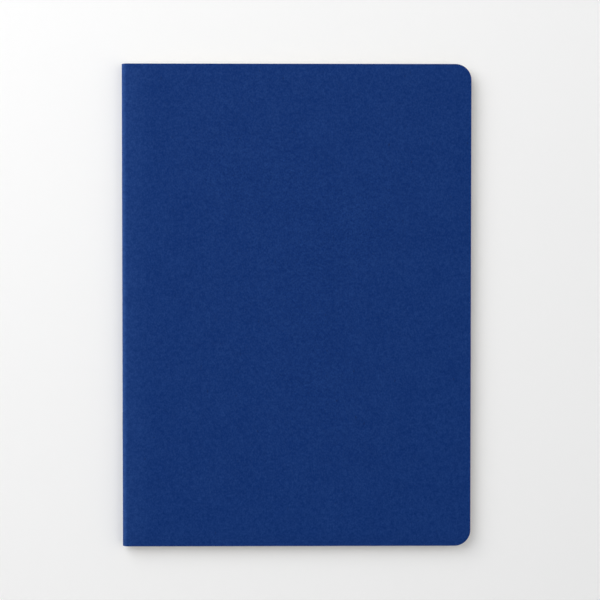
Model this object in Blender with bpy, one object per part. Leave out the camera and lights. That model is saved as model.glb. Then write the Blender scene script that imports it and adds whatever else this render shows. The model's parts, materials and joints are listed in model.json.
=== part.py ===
"""Stapled notebook: sixteen folded sheets in a round-cornered card cover, held by two wire staples.

Metres, +Z up. The notebook lies shut on its back cover: spine at -X, fore-edge at +X, head at +Y.
The origin is at the middle of its footprint, on the surface that it lies on.
All folds are nested round one fold axis, which runs along Y at half the notebook's thickness.
Every leaf turns about that axis. What stays at the spine lies inside the spine circle round it,
and every leaf and cover panel starts outside that circle, so that none of them rubs as it turns.
"""

import math

import bmesh
import bpy
from mathutils import Matrix

# Cover
COVER_WIDTH = 0.152  # from the back of the spine to the fore-edge
COVER_HEIGHT = 0.210
CORNER_RADIUS = 0.007
CARD_THICKNESS = 0.00035
CARD_UNDER_CROWN = 0.00006  # card left beneath the bed of a staple's crown

# Sheets, each folded once into a front and a back leaf
SHEET_COUNT = 16
PAPER_THICKNESS = 0.0001
LEAF_GAP = 0.00002
CARD_GAP = 0.00003  # between the outermost sheet and the card

# Staples
WIRE_DIAMETER = 0.0004
CROWN_LENGTH = 0.012  # between the middles of the two legs
CLINCH_LENGTH = 0.0045
STAPLE_SPACING = 0.105
WIRE_BEND_RADIUS = 0.00025  # at the middle of the wire
WIRE_CLEARANCE = 0.00004
CLINCH_ROOM = 0.00008  # between the clinched legs and the innermost fold

# Play at the joints
TURNING_CLEARANCE = 0.00005
CREASE_PLAY = 0.00006  # between the spine's staples and a front cover that is folded right round

# Fineness of round shapes
FOLD_STEPS = 12
CORNER_STEPS = 8
BEND_STEPS = 4
HOLE_SIDES = 8
CLEARANCE_SIDES = 96

# Fold radii, from the fold axis outwards
FIRST_FOLD_RADIUS = WIRE_DIAMETER / 2 + CLINCH_ROOM
SHEET_PITCH = PAPER_THICKNESS + LEAF_GAP
BLOCK_RADIUS = FIRST_FOLD_RADIUS + SHEET_COUNT * SHEET_PITCH - LEAF_GAP
CARD_INNER_RADIUS = BLOCK_RADIUS + CARD_GAP
CARD_OUTER_RADIUS = CARD_INNER_RADIUS + CARD_THICKNESS
HOLE_RADIUS = (WIRE_DIAMETER / 2 + WIRE_CLEARANCE) / math.cos(math.pi / HOLE_SIDES)
CROWN_RADIUS = CARD_INNER_RADIUS + CARD_UNDER_CROWN + HOLE_RADIUS
SPINE_RADIUS = max(CARD_OUTER_RADIUS, CROWN_RADIUS + WIRE_DIAMETER / 2)
TURNING_RADIUS = SPINE_RADIUS + TURNING_CLEARANCE
CREASE_RADIUS = (CARD_OUTER_RADIUS + SPINE_RADIUS) / 2 + CREASE_PLAY

# Places
FORE_EDGE_X = (COVER_WIDTH - CARD_OUTER_RADIUS + SPINE_RADIUS) / 2
FOLD_X = SPINE_RADIUS - FORE_EDGE_X
FOLD_Z = CARD_OUTER_RADIUS
LEAF_REACH = FORE_EDGE_X - FOLD_X
STAPLE_PLACES = {"staple_head": STAPLE_SPACING / 2, "staple_tail": -STAPLE_SPACING / 2}

ON_EDGE = Matrix.Rotation(math.pi / 2, 4, "X")  # stands an outline's Y up, and lays its depth along Y
ALONG_X = Matrix.Rotation(math.pi / 2, 4, "Y")
ALONG_Y = Matrix.Rotation(math.pi / 2, 4, "X")
WELD_DISTANCE = 1e-7
SHARP_ANGLE = math.radians(30)

CARD_BLUE = (0.0086, 0.0356, 0.159)
PAPER_IVORY = (0.80, 0.77, 0.68)
WIRE_STEEL = (0.62, 0.62, 0.63)


def clear_scene():
    for old in list(bpy.data.objects):
        bpy.data.objects.remove(old, do_unlink=True)


def new_collection(name):
    collection = bpy.data.collections.new(name)
    bpy.context.scene.collection.children.link(collection)
    return collection


def material_for(name, color, roughness, metallic=0.0):
    """A material of its own for one piece."""
    material = bpy.data.materials.new(name)
    material.use_nodes = True
    shader = material.node_tree.nodes["Principled BSDF"]
    shader.inputs["Base Color"].default_value = (*color, 1.0)
    shader.inputs["Roughness"].default_value = roughness
    shader.inputs["Metallic"].default_value = metallic
    return material


def card(name):
    return material_for(name, CARD_BLUE, 0.85)


def paper(name):
    return material_for(name, PAPER_IVORY, 0.9)


def wire(name):
    return material_for(name, WIRE_STEEL, 0.3, metallic=1.0)


def arc(center, radius, start, end, steps):
    """Points along a circular arc, from one angle to another, both ends included."""
    points = []
    for step in range(steps + 1):
        angle = start + (end - start) * step / steps
        x = center[0] + radius * math.cos(angle)
        y = center[1] + radius * math.sin(angle)
        points.append((x, y))
    return points


def outline_curve(name, points, depth, collection):
    """A filled flat outline with this depth, half on each side of its plane."""
    curve = bpy.data.curves.new(name, "CURVE")
    curve.dimensions = "2D"
    curve.fill_mode = "BOTH"
    curve.extrude = depth / 2
    spline = curve.splines.new("POLY")
    spline.points.add(len(points) - 1)
    for point, (x, y) in zip(spline.points, points):
        point.co = (x, y, 0.0, 1.0)
    spline.use_cyclic_u = True
    obj = bpy.data.objects.new(name + "_outline", curve)
    collection.objects.link(obj)
    return obj


def solid_from(outline, name, material, collection):
    """Turns an outline into a welded mesh in the same place, and removes the outline."""
    bpy.context.view_layer.update()
    graph = bpy.context.evaluated_depsgraph_get()
    mesh = bpy.data.meshes.new_from_object(outline.evaluated_get(graph))
    mesh.name = name
    shape = bmesh.new()
    shape.from_mesh(mesh)
    bmesh.ops.remove_doubles(shape, verts=shape.verts, dist=WELD_DISTANCE)
    bmesh.ops.recalc_face_normals(shape, faces=shape.faces)
    shape.to_mesh(mesh)
    shape.free()
    mesh.materials.clear()
    mesh.materials.append(material)
    obj = bpy.data.objects.new(name, mesh)
    obj.matrix_world = outline.matrix_world
    collection.objects.link(obj)
    bpy.data.objects.remove(outline, do_unlink=True)
    return obj


def cut(obj, cutter):
    modifier = obj.modifiers.new(cutter.name, "BOOLEAN")
    modifier.operation = "DIFFERENCE"
    modifier.object = cutter


def circle_x(radius, height):
    """How far in X a circle round the fold axis reaches at this height above or below it."""
    return math.sqrt(radius**2 - height**2)


def panel_outline(start):
    """A page or cover panel from above, with X counted from the fold axis: two corners are round."""
    side = COVER_HEIGHT / 2
    x = LEAF_REACH - CORNER_RADIUS
    y = side - CORNER_RADIUS
    tail_corner = arc((x, -y), CORNER_RADIUS, -math.pi / 2, 0.0, CORNER_STEPS)
    head_corner = arc((x, y), CORNER_RADIUS, 0.0, math.pi / 2, CORNER_STEPS)
    return [(start, -side), *tail_corner, *head_corner, (start, side)]


def add_panel(name, start, low, high, hinge, material, collection):
    """A flat panel between two heights above the fold axis, with its origin on its hinge."""
    outline = outline_curve(name, panel_outline(start), high - low, collection)
    outline.location = (FOLD_X, 0.0, FOLD_Z)
    obj = solid_from(outline, name, material, collection)
    hinge_x, hinge_z = hinge
    shift = (FOLD_X - hinge_x, 0.0, FOLD_Z - hinge_z + (low + high) / 2)
    obj.data.transform(Matrix.Translation(shift))
    obj.location = (hinge_x, 0.0, hinge_z)
    return obj


def fold_section(inner, outer):
    """A fold seen along its axis: half a ring, with short runs that end inside the spine circle."""
    quarter = math.pi / 2
    outside = arc((0.0, 0.0), outer, quarter, 3 * quarter, FOLD_STEPS)
    inside = arc((0.0, 0.0), inner, 3 * quarter, quarter, FOLD_STEPS)
    outer_run = circle_x(SPINE_RADIUS, outer)
    inner_run = circle_x(SPINE_RADIUS, inner)
    return [
        (outer_run, outer),
        *outside,
        (outer_run, -outer),
        (inner_run, -inner),
        *inside,
        (inner_run, inner),
    ]


def add_fold(name, inner, outer, material, collection):
    """A fold over the full height of the notebook, with its origin on the fold axis."""
    outline = outline_curve(name, fold_section(inner, outer), COVER_HEIGHT, collection)
    outline.matrix_world = Matrix.Translation((FOLD_X, 0.0, FOLD_Z)) @ ON_EDGE
    obj = solid_from(outline, name, material, collection)
    obj.data.shade_smooth()
    obj.data.set_sharp_from_angle(angle=SHARP_ANGLE)
    return obj


def cutter_of_rods(name, rods, sides, collection):
    """Cutting rods in one object, each given by its radius, its length and its placing matrix."""
    shape = bmesh.new()
    for radius, length, placed in rods:
        bmesh.ops.create_cone(
            shape,
            cap_ends=True,
            segments=sides,
            radius1=radius,
            radius2=radius,
            depth=length,
            matrix=placed,
        )
    mesh = bpy.data.meshes.new(name)
    shape.to_mesh(mesh)
    shape.free()
    obj = bpy.data.objects.new(name, mesh)
    obj.hide_render = True
    obj.display_type = "WIRE"
    collection.objects.link(obj)
    return obj


def add_leg_holes(collection):
    """Rods for the staple legs, from outside the spine to the hollow of the innermost fold."""
    level = Matrix.Rotation(math.pi / HOLE_SIDES, 4, "Z")
    length = SPINE_RADIUS * 2
    rods = []
    for middle in STAPLE_PLACES.values():
        for side in (-1, 1):
            place = Matrix.Translation((FOLD_X - length / 2, middle + side * CROWN_LENGTH / 2, FOLD_Z))
            rods.append((HOLE_RADIUS, length, place @ ALONG_X @ level))
    return cutter_of_rods("leg_holes", rods, HOLE_SIDES, collection)


def add_crown_beds(collection):
    """Rods for the grooves in the card that the staple crowns lie in, a little longer than the crowns."""
    length = CROWN_LENGTH + 2 * HOLE_RADIUS + 2 * WIRE_CLEARANCE
    rods = []
    for middle in STAPLE_PLACES.values():
        place = Matrix.Translation((FOLD_X - CROWN_RADIUS, middle, FOLD_Z))
        rods.append((HOLE_RADIUS, length, place @ ALONG_Y))
    return cutter_of_rods("crown_beds", rods, HOLE_SIDES, collection)


def add_spine_circle(collection):
    """The room that the spine needs, which the cover panels are cut back from."""
    place = Matrix.Translation((FOLD_X, 0.0, FOLD_Z)) @ ALONG_Y
    rods = [(TURNING_RADIUS, COVER_HEIGHT * 2, place)]
    return cutter_of_rods("spine_circle", rods, CLEARANCE_SIDES, collection)


def add_cover(spine_circle, leg_holes, crown_beds, collection):
    """The one folded card, as its front panel, its spine and its back panel."""
    inner = CARD_INNER_RADIUS
    outer = CARD_OUTER_RADIUS
    crease_x = FOLD_X + (circle_x(SPINE_RADIUS, outer) + circle_x(TURNING_RADIUS, outer)) / 2
    crease = (crease_x, FOLD_Z + CREASE_RADIUS)
    fold = (FOLD_X, FOLD_Z)
    front = add_panel("front_cover", 0.0, inner, outer, crease, card("front_cover"), collection)
    back = add_panel("back_cover", 0.0, -outer, -inner, fold, card("back_cover"), collection)
    for panel in (front, back):
        cut(panel, spine_circle)
    spine = add_fold("cover_spine", inner, outer, card("cover_spine"), collection)
    cut(spine, leg_holes)
    cut(spine, crown_beds)


def add_sheet(number, leg_holes, collection):
    """One folded sheet, as its front leaf, its fold and its back leaf: sheet 1 is the outermost."""
    inner = FIRST_FOLD_RADIUS + (SHEET_COUNT - number) * SHEET_PITCH
    outer = inner + PAPER_THICKNESS
    start = circle_x(TURNING_RADIUS, inner)
    fold = (FOLD_X, FOLD_Z)
    front_name = f"front_leaf_{number:02d}"
    back_name = f"back_leaf_{number:02d}"
    fold_name = f"sheet_fold_{number:02d}"
    add_panel(front_name, start, inner, outer, fold, paper(front_name), collection)
    add_panel(back_name, start, -outer, -inner, fold, paper(back_name), collection)
    cut(add_fold(fold_name, inner, outer, paper(fold_name), collection), leg_holes)


def staple_path(middle):
    """One staple's wire, from one clinched tip over the crown to the other tip, as (x, y) points."""
    bend = WIRE_BEND_RADIUS
    half = CROWN_LENGTH / 2
    crown_x = -CROWN_RADIUS
    quarter = math.pi / 2
    clinch_bend = arc((-bend, half - bend), bend, 0.0, quarter, BEND_STEPS)
    crown_bend = arc((crown_x + bend, half - bend), bend, quarter, 2 * quarter, BEND_STEPS)
    upper = [(0.0, half - CLINCH_LENGTH), *clinch_bend, *crown_bend]
    lower = [(x, -y) for x, y in reversed(upper)]
    return [(x, y + middle) for x, y in upper + lower]


def add_staple(name, middle, collection):
    """A wire staple: its crown lies in the card, and its legs are clinched inside the middle fold."""
    curve = bpy.data.curves.new(name, "CURVE")
    curve.dimensions = "3D"
    curve.bevel_depth = WIRE_DIAMETER / 2
    curve.bevel_resolution = 2
    curve.use_fill_caps = True
    path = staple_path(middle)
    spline = curve.splines.new("POLY")
    spline.points.add(len(path) - 1)
    for point, (x, y) in zip(spline.points, path):
        point.co = (x, y, 0.0, 1.0)
    curve.materials.append(wire(name))
    obj = bpy.data.objects.new(name, curve)
    obj.location = (FOLD_X, 0.0, FOLD_Z)
    collection.objects.link(obj)


def main():
    clear_scene()
    parts = new_collection("notebook")
    cutters = new_collection("cutters")
    leg_holes = add_leg_holes(cutters)
    crown_beds = add_crown_beds(cutters)
    spine_circle = add_spine_circle(cutters)
    add_cover(spine_circle, leg_holes, crown_beds, parts)
    for number in range(1, SHEET_COUNT + 1):
        add_sheet(number, leg_holes, parts)
    for name, middle in STAPLE_PLACES.items():
        add_staple(name, middle, parts)


main()
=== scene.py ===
"""Looks of the stapled notebook: a round-cornered card cover, sixteen folded sheets and two staples.

Metres, in the frame's own axes. Every card and paper piece is drawn flat first, in sheet space: x along
the sheet from the fold's apex, y along the spine and z through the thickness, outwards. It is then wrapped
round the fold axis. Materials read sheet space from a stored attribute, where x is negative on the back
half, so that grain and ruling stay with the card and paper as they bend.
"""

import json
import math
import random

import bmesh
import bpy
import numpy as np
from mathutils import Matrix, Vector


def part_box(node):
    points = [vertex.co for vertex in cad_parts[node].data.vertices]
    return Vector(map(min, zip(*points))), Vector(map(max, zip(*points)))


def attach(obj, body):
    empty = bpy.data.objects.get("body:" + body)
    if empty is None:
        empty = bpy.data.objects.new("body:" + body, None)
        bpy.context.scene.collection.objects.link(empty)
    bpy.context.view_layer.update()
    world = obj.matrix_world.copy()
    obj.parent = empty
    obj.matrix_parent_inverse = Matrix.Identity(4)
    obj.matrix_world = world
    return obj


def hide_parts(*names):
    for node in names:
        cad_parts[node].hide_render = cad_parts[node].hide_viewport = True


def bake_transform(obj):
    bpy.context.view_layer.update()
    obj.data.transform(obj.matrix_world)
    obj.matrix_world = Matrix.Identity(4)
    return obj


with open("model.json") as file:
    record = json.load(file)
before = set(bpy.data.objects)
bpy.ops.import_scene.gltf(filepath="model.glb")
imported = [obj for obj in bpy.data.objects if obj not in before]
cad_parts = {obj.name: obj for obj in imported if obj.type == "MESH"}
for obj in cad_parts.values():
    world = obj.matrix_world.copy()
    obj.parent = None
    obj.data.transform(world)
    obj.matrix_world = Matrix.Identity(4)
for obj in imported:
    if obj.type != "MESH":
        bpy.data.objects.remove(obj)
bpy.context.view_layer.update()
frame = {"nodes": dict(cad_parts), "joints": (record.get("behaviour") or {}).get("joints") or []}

# Sides of the fold axis
FRONT = 1
BACK = -1

# Sizes that the frame can't give
CORNER_RADIUS = 0.007
CARD_BEVEL = 0.00006
TRIM_SPREAD = 0.00006  # how far the leaves' cut edges differ
SHEET_SHIFT = 0.00004  # how far the sheets slid on each other along the spine
SEAM_INSET = 0.000002  # keeps the ends of the two halves of a fold out of one plane
SEAM_ROOM = 0.000265  # cut edges stay sharp this near to a seam, where the next piece goes on
LEAF_CHANCE = 7  # seed of the differences between the sheets

# Holes for the staples' legs
HOLE_RADIUS = 0.00026
HOLE_STRETCH = 1.5  # holes are this much longer round the fold, where sheets shift on the legs
HOLE_COLLAR = 2 * HOLE_RADIUS  # the closer columns round a hole reach this far from its middle
HOLE_FADE = 3 * HOLE_RADIUS  # rows give way to the holes up to this far from the fold's apex

# Bending: distances in X from the fold axis, apart from the last two
PAPER_BEND = 0.0027  # a leaf bends up to here
BACK_LEAF_BEND = 0.012  # a back leaf, held at the spine, bends up to here
SETTLE_START = 0.003  # leaves leave the height of their fold here
SETTLE_END = 0.025  # and lie evenly spread from here on
CREASE_WIDTH = 0.0007  # the front cover bends over this width, from its crease on

# Staples
WIRE_RADIUS = 0.0002
WIRE_BEND = 0.00025
CLINCH_LENGTH = 0.0045
TIP_LENGTH = 0.0004
TIP_TAPER = 0.4  # share of the wire's thickness at its tip
CROWN_FLATTENING = 0.7  # share of the crown's outer half that is left

# Beds that the crowns press into the card
BED_SOFTNESS = 0.00016  # width over which a bed's wall rises
BED_REACH = WIRE_RADIUS + 1.5 * BED_SOFTNESS  # close rows reach this far from the fold's apex
BED_LIMIT = 0.8  # share of the card's thickness that a bed takes at most

# Mesh fineness: rows follow each other from the fold to the fore-edge, and columns along the spine
ARC_ROWS = 14
BEND_ROWS = 12
CREASE_ROWS = 24
SETTLE_ROWS = 8
FLAT_ROWS = 6
PANEL_ROWS = 12
CORNER_ROWS = 12
BED_ROWS = 8
BED_COLUMNS = 12
HOLE_STEPS = 8
COLUMN_STEP = 0.0075
COLUMN_ROOM = 1.5  # even columns keep this many times as far from a leg as the closer ones reach
BEVEL_STEPS = 2
BEVEL_PROFILE = 0.6
WALL_SLOPE = 0.5  # a flat sheet's walls are the faces whose normals rise less than this
SHEET_SHARPNESS = math.radians(40)
WIRE_STEPS = 8
WIRE_FINENESS = 6
WIRE_WELD = 1e-7
WIRE_SHARPNESS = math.radians(50)

# Photograph: the whole frame's width at the cover's face, and where the camera points
FRAME_WIDTH = 0.2611
CAMERA_AIM = (0.00159, 0.0025)
CAMERA_LEAN = (-0.0068, 0.0128)  # the camera stood this far off straight above, towards spine and head
LENS = 85.0
SENSOR = 36.0

# Lights: places and sizes in metres, powers in watts
KEY_PLACE = (-0.52, 0.48, 0.75)
KEY_SIZE = 0.9
KEY_POWER = 7.3
FILL_PLACE = (1.2, 0.1, 1.3)
FILL_SIZE = 1.4
FILL_POWER = 4.0
ROOM_TONE = (1.0, 1.0, 1.0, 1.0)
ROOM_LIGHT = 0.46

# Floor
FLOOR_DROP = 0.00085  # room for the cover when it is folded right round beneath
FLOOR_RADIUS = 0.9
FLOOR_SIDES = 64
SWEEP_RADIUS = 2.6
SWEEP_STEPS = 32
WALL_HEIGHT = 3.2

# Names of what the meshes store for the materials
SHEET_SPACE = "sheet_space"
LEAF_SEED = "leaf_seed"


def joint_place(name):
    return Vector(next(j["pos_m"] for j in frame["joints"] if j["name"] == name))


FOLD = joint_place("centre_open")
CREASE = joint_place("cover_open")
COVER_LOW, COVER_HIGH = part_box("front_cover")
CARD_INNER = COVER_LOW.z - FOLD.z
CARD_OUTER = COVER_HIGH.z - FOLD.z
CARD_RADIUS = (CARD_INNER + CARD_OUTER) / 2
CARD_THICKNESS = CARD_OUTER - CARD_INNER
REACH = COVER_HIGH.x - FOLD.x
HALF_HEIGHT = COVER_HIGH.y
CREASE_REACH = CREASE.x - FOLD.x
SHEETS = range(1, 1 + sum(name.startswith("sheet_fold_") for name in frame["nodes"]))
LEAF_LOW, LEAF_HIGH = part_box("front_leaf_01")
BLOCK_RADIUS = LEAF_HIGH.z - FOLD.z
PAPER_THICKNESS = LEAF_HIGH.z - LEAF_LOW.z


def staple_facts(name):
    """A staple's middle along the spine, half its crown's length and the crown's distance from the fold."""
    low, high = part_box(name)
    half = (high.y - low.y) / 2 - WIRE_RADIUS
    return (low.y + high.y) / 2, half, FOLD.x - low.x - WIRE_RADIUS


STAPLES = {name: staple_facts(name) for name in ("staple_head", "staple_tail")}
LEG_PLACES = [middle + end * half for middle, half, _ in STAPLES.values() for end in (-1, 1)]


def placed(name, data):
    """A new object with this data in the scene."""
    obj = bpy.data.objects.new(name, data)
    bpy.context.scene.collection.objects.link(obj)
    return obj


# Sheet space and wrapping

def smoothstep(value):
    value = min(max(value, 0.0), 1.0)
    return value * value * (3 - 2 * value)


class Wrap:
    """How a sheet goes round the fold axis: its radius there, the height it settles to, and its side."""

    def __init__(self, radius, height, side):
        self.radius = radius
        self.height = height
        self.side = side
        self.quarter = radius * math.pi / 2

    def along(self, x):
        """Distance along the sheet of a point this far from the fold axis in X."""
        return self.quarter + x

    def place(self, s, y, depth):
        """Where a point of sheet space comes to lie."""
        reach = self.radius + depth
        if s < self.quarter:
            angle = s / self.radius
            x = -reach * math.cos(angle)
            z = reach * math.sin(angle)
        else:
            x = s - self.quarter
            share = smoothstep((x - SETTLE_START) / (SETTLE_END - SETTLE_START))
            z = reach + (self.height - self.radius) * share
        return FOLD + Vector((x, y, self.side * z))


def columns_of(extra):
    """Places across a sheet along Y: evenly spaced ones, and closer ones round each staple leg."""
    count = round(2 * HALF_HEIGHT / COLUMN_STEP)
    even = [HALF_HEIGHT * (2 * i / count - 1) for i in range(count + 1)]
    close = [leg + offset for leg in LEG_PLACES for offset in extra]
    clear = max(extra, default=0.0) * COLUMN_ROOM
    kept = [y for y in even if all(abs(y - leg) > clear for leg in LEG_PLACES)]
    return sorted(kept + close)


def hole_offsets():
    """Places round a hole: from one rim over its middle to the other rim, and one past each rim."""
    arc = [math.cos(math.pi * i / HOLE_STEPS) for i in range(HOLE_STEPS + 1)]
    return [HOLE_RADIUS * c for c in arc] + [-HOLE_COLLAR, HOLE_COLLAR]


def notch(y):
    """How far the edge at the fold's apex is cut back here by a leg's hole."""
    nearest = min(abs(y - leg) for leg in LEG_PLACES)
    return HOLE_STRETCH * math.sqrt(max(HOLE_RADIUS**2 - nearest**2, 0.0))


def corner_rows(end):
    """Rows over a round corner: distance along the sheet and half the sheet's width there."""
    rows = []
    for i in range(CORNER_ROWS + 1):
        angle = math.pi / 2 * i / CORNER_ROWS
        s = end - CORNER_RADIUS * (1 - math.sin(angle))
        rows.append((s, HALF_HEIGHT - CORNER_RADIUS * (1 - math.cos(angle))))
    return rows


def spaced(start, end, count):
    """Values from start towards end, which is left to the next stretch."""
    return [start + (end - start) * i / count for i in range(count)]


def sheet_face(shape, rows, columns, depth, holes):
    """One face of a flat sheet, as a grid of points."""
    grid = []
    for s, half in rows:
        line = []
        for y in columns:
            cut = notch(y) if holes else 0.0
            moved = s + cut * max(0.0, 1 - s / HOLE_FADE)
            line.append(shape.verts.new((moved, y * half / HALF_HEIGHT, depth)))
        grid.append(line)
    return grid


def outline_pairs(lower, upper):
    """Pairs of points on the two faces of a flat sheet, once round its outline."""
    middle = list(zip(lower[1:-1], upper[1:-1]))
    pairs = list(zip(lower[0], upper[0]))
    pairs += [(low[-1], up[-1]) for low, up in middle]
    pairs += reversed(list(zip(lower[-1], upper[-1])))
    pairs += [(low[0], up[0]) for low, up in reversed(middle)]
    return pairs


def flat_solid(rows, columns, thickness, holes):
    """A closed flat sheet from rows of (distance, half width), notched where the holes are."""
    shape = bmesh.new()
    lower = sheet_face(shape, rows, columns, -thickness / 2, holes)
    upper = sheet_face(shape, rows, columns, thickness / 2, holes)
    for grid in (lower, upper):
        for line, following in zip(grid, grid[1:]):
            for i in range(len(columns) - 1):
                shape.faces.new((line[i], following[i], following[i + 1], line[i + 1]))
    rim = outline_pairs(lower, upper)
    for (low_a, up_a), (low_b, up_b) in zip(rim, rim[1:] + rim[:1]):
        shape.faces.new((low_a, up_a, up_b, low_b))
    bmesh.ops.recalc_face_normals(shape, faces=shape.faces)
    return shape


def bevel_rim(shape, seams):
    """Rounds the cut edges of a flat card, apart from its seams, which meet the next piece."""
    shape.normal_update()
    rim = []
    for edge in shape.edges:
        walls = [face for face in edge.link_faces if abs(face.normal.z) < WALL_SLOPE]
        at_seam = any(all(abs(v.co.x - seam) < SEAM_ROOM for v in edge.verts) for seam in seams)
        if len(walls) == 1 and not at_seam:
            rim.append(edge)
    settings = {"offset": CARD_BEVEL, "segments": BEVEL_STEPS, "profile": BEVEL_PROFILE}
    bmesh.ops.bevel(shape, geom=rim, affect="EDGES", **settings)


def store(mesh, name, kind, values):
    """Stores one value, or one vector, for each point of a mesh."""
    attribute = mesh.attributes.new(name, kind, "POINT")
    key = "vector" if kind == "FLOAT_VECTOR" else "value"
    attribute.data.foreach_set(key, np.array(values, np.float32).ravel())


def wrapped(name, shape, wrap, material, seed=0.0, dent=None):
    """Wraps a flat sheet round the fold axis, and stores where each point lay in sheet space."""
    flat = []
    for vert in shape.verts:
        s, y, depth = vert.co
        flat.append((wrap.side * s, y, depth))
        sunk = dent(s, y, depth) if dent else 0.0
        vert.co = wrap.place(s, y, depth - sunk)
    bmesh.ops.recalc_face_normals(shape, faces=shape.faces)
    mesh = bpy.data.meshes.new(name)
    shape.to_mesh(mesh)
    shape.free()
    store(mesh, SHEET_SPACE, "FLOAT_VECTOR", flat)
    store(mesh, LEAF_SEED, "FLOAT", [seed] * len(flat))
    mesh.shade_smooth()
    mesh.set_sharp_from_angle(angle=SHEET_SHARPNESS)
    mesh.materials.append(material)
    return placed(name, mesh)


# Shader nodes

# Sockets of a Mix node that mixes colours
MIX_SHARE = 0
MIX_FIRST = 6
MIX_SECOND = 7
MIX_RESULT = 2

NOISE_RANGE = (0.3, 0.7)  # most of a noise's values lie between these


def add(tree, kind, sockets, output=0, **settings):
    """A node with its settings and its sockets, each a value or another node's output."""
    made = tree.nodes.new(kind)
    for key, value in settings.items():
        setattr(made, key, value)
    for key, value in sockets.items():
        if isinstance(value, bpy.types.NodeSocket):
            tree.links.new(value, made.inputs[key])
        else:
            made.inputs[key].default_value = value
    return made.outputs[output]


def calc(tree, operation, first, second=0.0, clamp=False):
    return add(tree, "ShaderNodeMath", {0: first, 1: second}, operation=operation, use_clamp=clamp)


def weighted(tree, parts):
    """Sum of values, each times its share."""
    terms = [calc(tree, "MULTIPLY", value, share) for value, share in parts]
    total = terms[0]
    for term in terms[1:]:
        total = calc(tree, "ADD", total, term)
    return total


def ramp(tree, value, low, high, to_low=0.0, to_high=1.0):
    """A smooth step from one value to another."""
    sockets = {"Value": value, "From Min": low, "From Max": high, "To Min": to_low, "To Max": to_high}
    return add(tree, "ShaderNodeMapRange", sockets, interpolation_type="SMOOTHSTEP")


def stretched(tree, place, stretch):
    """A place times a stretch along each axis: noise there is finer where it is over 1."""
    return add(tree, "ShaderNodeVectorMath", {0: place, 1: stretch}, operation="MULTIPLY")


def noise(tree, place, size, detail=2.0, roughness=0.5, distortion=0.0):
    """Noise whose features are about this size, in metres."""
    sockets = {"Vector": place, "Scale": 1 / size, "Detail": detail, "Roughness": roughness}
    sockets["Distortion"] = distortion
    return add(tree, "ShaderNodeTexNoise", sockets)


def mix(tree, share, first, second):
    sockets = {MIX_SHARE: share, MIX_FIRST: first, MIX_SECOND: second}
    return add(tree, "ShaderNodeMix", sockets, output=MIX_RESULT, data_type="RGBA")


def new_material(name, roughness, specular, metallic=0.0):
    material = bpy.data.materials.new(name)
    material.use_nodes = True
    shader = material.node_tree.nodes["Principled BSDF"]
    shader.inputs["Roughness"].default_value = roughness
    shader.inputs["Specular IOR Level"].default_value = specular
    shader.inputs["Metallic"].default_value = metallic
    return material, material.node_tree, shader


def finish_with(tree, shader, tone, roughness, relief, depth):
    """Gives a shader its colour, its roughness and a relief that is this deep, in metres."""
    tree.links.new(tone, shader.inputs["Base Color"])
    tree.links.new(roughness, shader.inputs["Roughness"])
    normal = add(tree, "ShaderNodeBump", {"Height": relief, "Distance": depth})
    tree.links.new(normal, shader.inputs["Normal"])


def sheet_place(tree):
    """Sheet space, and its three parts."""
    place = add(tree, "ShaderNodeAttribute", {}, output="Vector", attribute_name=SHEET_SPACE)
    split = tree.nodes.new("ShaderNodeSeparateXYZ")
    tree.links.new(place, split.inputs["Vector"])
    return place, split.outputs["X"], split.outputs["Y"], split.outputs["Z"]


def rim_distance(tree, along, across, end):
    """Distance inwards from the outline of a whole sheet with four round corners."""
    out_x = calc(tree, "SUBTRACT", calc(tree, "ABSOLUTE", along), end - CORNER_RADIUS)
    out_y = calc(tree, "SUBTRACT", calc(tree, "ABSOLUTE", across), HALF_HEIGHT - CORNER_RADIUS)
    past_x = calc(tree, "MAXIMUM", out_x, 0.0)
    past_y = calc(tree, "MAXIMUM", out_y, 0.0)
    squares = calc(tree, "ADD", calc(tree, "POWER", past_x, 2.0), calc(tree, "POWER", past_y, 2.0))
    corner = calc(tree, "SQRT", squares)
    inside = calc(tree, "MINIMUM", calc(tree, "MAXIMUM", out_x, out_y), 0.0)
    return calc(tree, "SUBTRACT", CORNER_RADIUS, calc(tree, "ADD", corner, inside))


# Card: a mottle of fine fibre, grain and clouds, with a few dark fibres in it
CARD_DARK = (0.0014, 0.0232, 0.141, 1.0)
CARD_LIGHT = (0.0114, 0.0502, 0.209, 1.0)
CARD_SPECK = (0.0040, 0.0200, 0.100, 1.0)
# tone of the worn cut edges, and of the lighter strip round the fold, which is partly real wear and partly a
# painted highlight
CARD_WEAR_AND_HIGHLIGHT = (0.052, 0.146, 0.440, 1.0)
FINE_SIZE = 0.00075
FINE_STRETCH = (1.12, 0.90, 1.0)
GRAIN_SIZE = 0.0020
CLOUD_SIZE = 0.012
FINE_SHARE = 0.58
GRAIN_SHARE = 0.30
CLOUD_SHARE = 0.12
MOTTLE_RANGE = (0.31, 0.80)
FIBRE_SIZE = 0.0009
FIBRE_STRETCH = (1.0, 0.35, 1.0)
FIBRE_RANGE = (0.74, 0.82)
CARD_ROUGHNESS = (0.75, 0.58)  # where the mottle is dark, and where it is light
CARD_RELIEF = 0.00004
FINE_RELIEF = 0.6
GRAIN_RELIEF = 0.4

# Wear of the card, and a painted highlight round its fold: how strong they are, and where they start and
# fade
EDGE_WEAR = 0.3
EDGE_FADE = (0.0001, 0.0004)
RAGGED_SIZE = 0.0012
RAGGED_DEPTH = 0.0005  # how far the edge's worn line wanders
# the strip over the fold's arc is drawn lighter: partly real wear, partly a painted highlight
FOLD_RUB_AND_HIGHLIGHT = 0.24
RUB_AND_HIGHLIGHT_START = 0.48  # share of the fold's quarter turn, at whose end the rubbed strip ends
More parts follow.
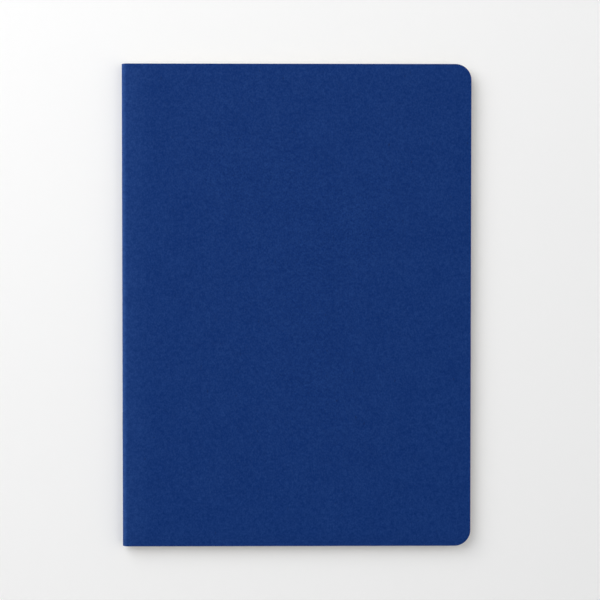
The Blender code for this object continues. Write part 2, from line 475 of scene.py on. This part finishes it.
# painted highlight: the card just past the fold is drawn a little lighter, fading out
FOLD_TAIL_HIGHLIGHT = 0.07
TAIL_HIGHLIGHT_START = 0.6  # share of the fold's quarter turn
TAIL_HIGHLIGHT_FADE = 0.0125  # how far past the fold the card is a little lighter
FOLD_MARK_GRAIN = (0.35, 0.65)
FOLD_MARK_SPREAD = (0.8, 1.2)  # the fold's wear differs this much with the grain


def card_wear_and_highlight(tree, place, along, across, grain):
    """How worn the card is, a little at its cut edges and more round its fold, with a painted highlight on
    and past the fold.
    """
    quarter = CARD_RADIUS * math.pi / 2
    rim = rim_distance(tree, along, across, quarter + REACH)
    ragged = calc(tree, "MULTIPLY", noise(tree, place, RAGGED_SIZE, detail=3.0), RAGGED_DEPTH)
    edge_wear = ramp(tree, calc(tree, "ADD", rim, ragged), *EDGE_FADE, EDGE_WEAR, 0.0)
    from_fold = calc(tree, "ABSOLUTE", along)
    # lighter strip over the fold's arc: partly real wear, partly a painted highlight
    rubbed_and_highlit = ramp(tree, from_fold, quarter * RUB_AND_HIGHLIGHT_START, quarter, FOLD_RUB_AND_HIGHLIGHT, 0.0)
    # painted highlight past the fold, fading out
    tail_highlight = ramp(tree, from_fold, quarter * TAIL_HIGHLIGHT_START, quarter + TAIL_HIGHLIGHT_FADE, FOLD_TAIL_HIGHLIGHT, 0.0)
    fold_grain = ramp(tree, grain, *FOLD_MARK_GRAIN, *FOLD_MARK_SPREAD)
    fold_wear_and_highlight = calc(tree, "MULTIPLY", calc(tree, "ADD", rubbed_and_highlit, tail_highlight), fold_grain)
    return calc(tree, "MAXIMUM", edge_wear, fold_wear_and_highlight, clamp=True)


def card_material():
    """Through-dyed matte card: fine fibre grain, faint clouds, a few dark fibres, worn edges, and a fold
    that is worn and carries a painted highlight.
    """
    material, tree, shader = new_material("blue_card", roughness=0.65, specular=0.08)
    place, along, across, _ = sheet_place(tree)
    fine = noise(tree, stretched(tree, place, FINE_STRETCH), FINE_SIZE, detail=2.0, roughness=0.6)
    grain = noise(tree, place, GRAIN_SIZE, detail=3.0, roughness=0.6)
    cloud = noise(tree, place, CLOUD_SIZE, detail=3.0)
    mottle = weighted(tree, [(fine, FINE_SHARE), (grain, GRAIN_SHARE), (cloud, CLOUD_SHARE)])
    tone = mix(tree, ramp(tree, mottle, *MOTTLE_RANGE), CARD_DARK, CARD_LIGHT)
    fibre = noise(tree, stretched(tree, place, FIBRE_STRETCH), FIBRE_SIZE, detail=1.0, distortion=0.6)
    tone = mix(tree, ramp(tree, fibre, *FIBRE_RANGE), tone, CARD_SPECK)
    # wear at the cut edges, and wear with a painted highlight round the fold
    tone = mix(tree, card_wear_and_highlight(tree, place, along, across, grain), tone, CARD_WEAR_AND_HIGHLIGHT)
    roughness = ramp(tree, mottle, *NOISE_RANGE, *CARD_ROUGHNESS)
    relief = weighted(tree, [(fine, FINE_RELIEF), (grain, GRAIN_RELIEF)])
    finish_with(tree, shader, tone, roughness, relief, CARD_RELIEF)
    return material


# Paper: ivory pulp with warmer clouds, and tones of the cut edges and of the ruling
PAPER_TONE = (0.80, 0.77, 0.68, 1.0)
PAPER_WARM = (0.76, 0.72, 0.61, 1.0)
PAPER_EDGE = (0.70, 0.66, 0.56, 1.0)
RULE_TONE = (0.36, 0.44, 0.58, 1.0)
PULP_SIZE = 0.0006
PULP_RANGE = (0.35, 0.75)
PULP_STRENGTH = 0.25
WARM_SIZE = 0.009
WARM_STRENGTH = 0.35
PAPER_ROUGHNESS = (0.92, 0.78)
PAPER_RELIEF = 0.00001
WALL_RANGE = (0.40, 0.49)  # shares of the thickness, from its middle, over which a cut edge's tone fades
WALL_STRENGTH = 0.75
SEED_STEP = 0.05  # from one sheet to the next, so that no two have the same pulp

# Ruling
RULE_PITCH = 0.007
RULE_WIDTH = 0.00022
RULE_SOFTNESS = 0.2
RULE_TOP = 0.086
RULE_BOTTOM = -0.0935
RULE_DEPTH = 0.45  # share of the thickness, from its middle, past which the ink lies
INK_RANGE = (0.3, 0.6)
INK_STRENGTH = (0.95, 0.6)  # between the fibres, and on them


def ruling(tree, across, from_middle):
    """Share of ruling ink: level lines at an even pitch on both faces of a leaf, with free head and foot."""
    steps = calc(tree, "DIVIDE", calc(tree, "SUBTRACT", across, RULE_BOTTOM), RULE_PITCH)
    off = calc(tree, "ABSOLUTE", calc(tree, "SUBTRACT", steps, calc(tree, "ROUND", steps)))
    half = RULE_WIDTH / 2 / RULE_PITCH
    line = ramp(tree, off, half * (1 - RULE_SOFTNESS), half * (1 + RULE_SOFTNESS), 1.0, 0.0)
    below_top = calc(tree, "LESS_THAN", across, RULE_TOP)
    above_foot = calc(tree, "GREATER_THAN", across, RULE_BOTTOM - RULE_PITCH / 2)
    on_face = calc(tree, "GREATER_THAN", from_middle, PAPER_THICKNESS * RULE_DEPTH)
    body = calc(tree, "MULTIPLY", calc(tree, "MULTIPLY", below_top, above_foot), on_face)
    return calc(tree, "MULTIPLY", line, body)


def paper_material():
    """Uncoated ivory writing paper with a faint ruling, a fibre texture and slightly darker cut edges."""
    material, tree, shader = new_material("ruled_paper", roughness=0.85, specular=0.25)
    place, _, across, depth = sheet_place(tree)
    seed = add(tree, "ShaderNodeAttribute", {}, output="Fac", attribute_name=LEAF_SEED)
    shift = add(tree, "ShaderNodeCombineXYZ", {"Z": seed})
    own = add(tree, "ShaderNodeVectorMath", {0: place, 1: shift}, operation="ADD")
    pulp = noise(tree, own, PULP_SIZE, detail=4.0, roughness=0.65)
    cloud = noise(tree, own, WARM_SIZE, detail=3.0)
    tone = mix(tree, ramp(tree, cloud, *NOISE_RANGE, 0.0, WARM_STRENGTH), PAPER_TONE, PAPER_WARM)
    tone = mix(tree, ramp(tree, pulp, *PULP_RANGE, 0.0, PULP_STRENGTH), tone, PAPER_EDGE)
    from_middle = calc(tree, "ABSOLUTE", depth)
    ink = ramp(tree, pulp, *INK_RANGE, *INK_STRENGTH)
    tone = mix(tree, calc(tree, "MULTIPLY", ruling(tree, across, from_middle), ink), tone, RULE_TONE)
    wall_start, wall_end = (PAPER_THICKNESS * share for share in WALL_RANGE)
    on_wall = ramp(tree, from_middle, wall_start, wall_end, WALL_STRENGTH, 0.0)
    tone = mix(tree, on_wall, tone, PAPER_EDGE)
    finish_with(tree, shader, tone, ramp(tree, pulp, *NOISE_RANGE, *PAPER_ROUGHNESS), pulp, PAPER_RELIEF)
    return material


# Steel
STEEL_TONE = (0.62, 0.62, 0.63, 1.0)
STEEL_DULL = (0.40, 0.40, 0.42, 1.0)
DRAWN_SIZE = 0.0009
DRAWN_STRETCH = (9.0, 1.0, 9.0)
PATCH_SIZE = 0.0011
PATCH_RANGE = (0.45, 0.75)
STEEL_ROUGHNESS = (0.26, 0.48)
STEEL_RELIEF = 0.00001


def steel_material():
    """Drawn steel wire: fine marks along the crown, and dull patches."""
    material, tree, shader = new_material("staple_steel", roughness=0.3, specular=0.5, metallic=1.0)
    place = add(tree, "ShaderNodeTexCoord", {}, output="Object")
    drawn = noise(tree, stretched(tree, place, DRAWN_STRETCH), DRAWN_SIZE, detail=3.0)
    patch = noise(tree, place, PATCH_SIZE, detail=3.0, roughness=0.6)
    tone = mix(tree, ramp(tree, patch, *PATCH_RANGE), STEEL_TONE, STEEL_DULL)
    finish_with(tree, shader, tone, ramp(tree, patch, *NOISE_RANGE, *STEEL_ROUGHNESS), drawn, STEEL_RELIEF)
    return material


# Tones of the floor, and the size of its clouds
FLOOR_DARK = (0.94, 0.94, 0.94, 1.0)
FLOOR_LIGHT = (0.96, 0.96, 0.96, 1.0)
FLOOR_CLOUD = 0.25


def floor_material():
    """Matte pale floor with very faint clouds."""
    material, tree, shader = new_material("pale_floor", roughness=0.75, specular=0.2)
    place = add(tree, "ShaderNodeTexCoord", {}, output="Object")
    cloud = noise(tree, place, FLOOR_CLOUD)
    tree.links.new(mix(tree, cloud, FLOOR_DARK, FLOOR_LIGHT), shader.inputs["Base Color"])
    return material


# Sheets of paper

def sheet_wrap(number, side):
    """A sheet's wrapping: near its fold it keeps its own radius, and further out it settles evenly."""
    low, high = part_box(f"front_leaf_{number:02d}")
    radius = (low.z + high.z) / 2 - FOLD.z
    height = (len(SHEETS) - number + 0.5) * BLOCK_RADIUS / len(SHEETS)
    return Wrap(radius, height, side)


def leaf_rows(wrap, start, bend_end, trim):
    """Rows of a leaf from start, closer where it bends, out to its round corners."""
    values = spaced(start, wrap.along(bend_end), BEND_ROWS)
    values += spaced(wrap.along(bend_end), wrap.along(SETTLE_END), SETTLE_ROWS)
    corner = corner_rows(wrap.along(REACH) - trim)
    values += spaced(wrap.along(SETTLE_END), corner[0][0], FLAT_ROWS)
    return [(s, HALF_HEIGHT) for s in values] + corner


def fold_rows(wrap):
    """Rows of a half fold, from its apex to the end of its quarter turn."""
    return [(s, HALF_HEIGHT) for s in spaced(0.0, wrap.quarter, ARC_ROWS)]


def sheet_pieces(number, front, back, trims, material):
    """A folded sheet: the front page with its half of the fold, the fold's other half, and the back page."""
    columns = columns_of(hole_offsets())
    leaf_start = back.along(PAPER_BEND)
    inner_values = spaced(back.quarter, leaf_start, BEND_ROWS) + [leaf_start]
    page_rows = fold_rows(front) + leaf_rows(front, front.quarter, PAPER_BEND, trims[0])
    fold_half = fold_rows(back) + [(s, HALF_HEIGHT) for s in inner_values]
    inset_half = [(s, half - SEAM_INSET) for s, half in fold_half]
    back_rows = leaf_rows(back, leaf_start, BACK_LEAF_BEND, trims[1])
    plans = [
        ("front_page_", page_rows, front, True),
        ("fold_back_", inset_half, back, True),
        ("back_page_", back_rows, back, False),
    ]
    pieces = []
    for name, rows, wrap, holes in plans:
        shape = flat_solid(rows, columns, PAPER_THICKNESS, holes)
        pieces.append(wrapped(f"{name}{number:02d}", shape, wrap, material, number * SEED_STEP))
    return pieces


def paper_sheet(number, material, chance):
    """One folded sheet, with the nodes that its pieces stand for."""
    front_body = f"front_leaf_{number:02d}"
    back_body = f"back_leaf_{number:02d}"
    fold_node = f"sheet_fold_{number:02d}"
    trims = [chance.random() * TRIM_SPREAD for _ in range(2)]
    shift = (chance.random() - 0.5) * 2 * SHEET_SHIFT
    front = sheet_wrap(number, FRONT)
    back = sheet_wrap(number, BACK)
    page, fold, leaf = sheet_pieces(number, front, back, trims, material)
    for piece in (page, fold, leaf):
        piece.location.y = shift
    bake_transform(page)
    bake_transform(fold)
    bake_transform(leaf)
    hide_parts(front_body, fold_node)
    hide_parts(fold_node)
    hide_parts(back_body)


# Cover

def card_wrap(side):
    return Wrap(CARD_RADIUS, CARD_RADIUS, side)


def crown_bed(s, y, depth):
    """How deep the card's outer face is pressed in here by a staple's crown."""
    if depth < 0:
        return 0.0
    deepest = 0.0
    for middle, half, crown_radius in STAPLES.values():
        bed = CARD_OUTER - (crown_radius - WIRE_RADIUS * CROWN_FLATTENING)
        past_end = max(0.0, abs(y - middle) - half)
        away = math.hypot(s, past_end)
        share = 1 - smoothstep((away - WIRE_RADIUS) / BED_SOFTNESS)
        deepest = max(deepest, bed * share)
    return min(deepest, CARD_THICKNESS * BED_LIMIT)


def cover_panel(name, side, material):
    """A flat cover panel from the crease beside the spine to the fore-edge."""
    wrap = card_wrap(side)
    seam = wrap.along(CREASE_REACH)
    values = spaced(seam, seam + CREASE_WIDTH, CREASE_ROWS)
    corner = corner_rows(wrap.along(REACH))
    values += spaced(seam + CREASE_WIDTH, corner[0][0], PANEL_ROWS)
    rows = [(s, HALF_HEIGHT) for s in values] + corner
    shape = flat_solid(rows, columns_of([]), CARD_THICKNESS, False)
    bevel_rim(shape, [seam])
    return wrapped(name, shape, wrap, material)


def spine_half(name, side, inset, material):
    """Half of the card's fold, from its apex to the crease, with the beds of the staples' crowns."""
    wrap = card_wrap(side)
    seam = wrap.along(CREASE_REACH)
    values = spaced(0.0, BED_REACH, BED_ROWS)
    values += spaced(BED_REACH, wrap.quarter, ARC_ROWS)
    values += spaced(wrap.quarter, seam, BEND_ROWS)
    values.append(seam)
    rows = [(s, HALF_HEIGHT - inset) for s in values]
    offsets = [BED_REACH * i / BED_ROWS for i in range(-BED_COLUMNS, BED_COLUMNS + 1)]
    shape = flat_solid(rows, columns_of(offsets), CARD_THICKNESS, False)
    bevel_rim(shape, [0.0, seam])
    return wrapped(name, shape, wrap, material, dent=crown_bed)


def card_cover():
    """The whole cover: two panels, and the two halves of its fold between them."""
    material = card_material()
    front = cover_panel("cover_front", FRONT, material)
    spine_front = spine_half("cover_spine_front", FRONT, 0.0, material)
    spine_back = spine_half("cover_spine_back", BACK, SEAM_INSET, material)
    back = cover_panel("cover_back", BACK, material)
    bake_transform(front)
    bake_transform(spine_front)
    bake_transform(spine_back)
    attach(back, "back_cover")
    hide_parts("front_cover")
    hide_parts("cover_spine")
    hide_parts("cover_spine")
    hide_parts("back_cover")


# Staples

def wire_arc(center_x, center_y, start, end):
    """Points of a bend in the wire."""
    points = []
    for i in range(WIRE_STEPS + 1):
        angle = start + (end - start) * i / WIRE_STEPS
        points.append((center_x + WIRE_BEND * math.cos(angle), center_y + WIRE_BEND * math.sin(angle), 1.0))
    return points


def half_staple(half, crown_radius):
    """Half of a staple's wire, from tip to crown: X and Y from the fold axis, and its share of thickness."""
    tip_y = half - CLINCH_LENGTH
    points = [(0.0, tip_y, TIP_TAPER), (0.0, tip_y + TIP_LENGTH, 1.0), (0.0, tip_y + CLINCH_LENGTH / 2, 1.0)]
    points += wire_arc(-WIRE_BEND, half - WIRE_BEND, 0.0, math.pi / 2)
    points += wire_arc(-crown_radius + WIRE_BEND, half - WIRE_BEND, math.pi / 2, math.pi)
    points.append((-crown_radius, half / 2, 1.0))
    return points


def staple_wire(name, middle, half, crown_radius):
    """A staple's round wire as a curve, from one tip over the crown to the other."""
    upper = half_staple(half, crown_radius)
    path = upper + [(x, -y, share) for x, y, share in reversed(upper)]
    curve = bpy.data.curves.new(name, "CURVE")
    curve.dimensions = "3D"
    curve.bevel_depth = WIRE_RADIUS
    curve.bevel_resolution = WIRE_FINENESS
    curve.use_fill_caps = True
    spline = curve.splines.new("POLY")
    spline.points.add(len(path) - 1)
    for point, (x, y, share) in zip(spline.points, path):
        point.co = (FOLD.x + x, middle + y, FOLD.z, 1.0)
        point.radius = share
    return curve


def press_crown(mesh, crown_radius):
    """Welds the wire's caps on, and flattens its crown's outer side."""
    shape = bmesh.new()
    shape.from_mesh(mesh)
    bmesh.ops.remove_doubles(shape, verts=shape.verts, dist=WIRE_WELD)
    crown_x = FOLD.x - crown_radius
    for vert in shape.verts:
        if vert.co.x < crown_x:
            vert.co.x = crown_x - (crown_x - vert.co.x) * CROWN_FLATTENING
    shape.to_mesh(mesh)
    shape.free()


def staple(name, node, material):
    """A staple's wire with a flattened crown, in place of its node."""
    middle, half, crown_radius = STAPLES[node]
    source = placed(name + "_path", staple_wire(name, middle, half, crown_radius))
    bpy.context.view_layer.update()
    graph = bpy.context.evaluated_depsgraph_get()
    mesh = bpy.data.meshes.new_from_object(source.evaluated_get(graph))
    bpy.data.objects.remove(source)
    press_crown(mesh, crown_radius)
    mesh.name = name
    mesh.shade_smooth()
    mesh.set_sharp_from_angle(angle=WIRE_SHARPNESS)
    mesh.materials.clear()
    mesh.materials.append(material)
    obj = placed(name, mesh)
    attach(obj, "spine")
    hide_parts(node)


# Stage

def area_light(name, place, size, power):
    """A square soft light aimed at the notebook."""
    data = bpy.data.lights.new(name, "AREA")
    data.shape = "SQUARE"
    data.size = size
    data.energy = power
    obj = placed(name, data)
    obj.location = place
    obj.rotation_euler = (-Vector(place)).to_track_quat("-Z", "Y").to_euler()


def lights():
    """A soft key light from the head's side of the spine, a wide fill light and an even white room."""
    area_light("key_light", KEY_PLACE, KEY_SIZE, KEY_POWER)
    area_light("fill_light", FILL_PLACE, FILL_SIZE, FILL_POWER)
    world = bpy.data.worlds.new("soft_room")
    world.use_nodes = True
    background = world.node_tree.nodes["Background"]
    background.inputs["Color"].default_value = ROOM_TONE
    background.inputs["Strength"].default_value = ROOM_LIGHT
    bpy.context.scene.world = world


def floor_profile():
    """The floor past its middle: the rim of its flat part, the sweep, and the top of the wall."""
    profile = []
    for i in range(SWEEP_STEPS + 1):
        angle = math.pi / 2 * i / SWEEP_STEPS
        reach = FLOOR_RADIUS + SWEEP_RADIUS * math.sin(angle)
        profile.append((reach, SWEEP_RADIUS * (1 - math.cos(angle))))
    profile.append((FLOOR_RADIUS + SWEEP_RADIUS, WALL_HEIGHT))
    return profile


def floor():
    """A round pale floor whose rim sweeps up, so that no horizon shows."""
    shape = bmesh.new()
    middle = shape.verts.new((0.0, 0.0, 0.0))
    turns = [2 * math.pi * i / FLOOR_SIDES for i in range(FLOOR_SIDES)]
    rings = []
    for reach, height in floor_profile():
        places = [(reach * math.cos(turn), reach * math.sin(turn), height) for turn in turns]
        rings.append([shape.verts.new(place) for place in places])
    for i in range(FLOOR_SIDES):
        j = (i + 1) % FLOOR_SIDES
        shape.faces.new((middle, rings[0][i], rings[0][j]))
        for inner, outer in zip(rings, rings[1:]):
            shape.faces.new((inner[i], outer[i], outer[j], inner[j]))
    mesh = bpy.data.meshes.new("floor")
    shape.to_mesh(mesh)
    shape.free()
    mesh.shade_smooth()
    mesh.materials.append(floor_material())
    obj = placed("floor", mesh)
    obj.location.z = -FLOOR_DROP


def camera():
    """Almost straight above the cover, at the distance where the frame is as wide as in the photograph."""
    data = bpy.data.cameras.new("photo_camera")
    data.lens = LENS
    data.sensor_width = SENSOR
    obj = placed("photo_camera", data)
    aim = Vector((*CAMERA_AIM, COVER_HIGH.z))
    lean = Vector(CAMERA_LEAN)
    distance = FRAME_WIDTH * LENS / SENSOR
    obj.location = aim + Vector((*lean, math.sqrt(distance**2 - lean.length_squared)))
    obj.rotation_euler = Vector((0, 0, -1)).rotation_difference(aim - obj.location).to_euler()
    bpy.context.scene.camera = obj


def main():
    bpy.context.scene.view_settings.view_transform = "Standard"
    camera()
    lights()
    floor()
    card_cover()
    paper = paper_material()
    chance = random.Random(LEAF_CHANCE)
    for number in SHEETS:
        paper_sheet(number, paper, chance)
    steel = steel_material()
    for node in STAPLES:
        staple(node.replace("staple", "wire"), node, steel)


main()
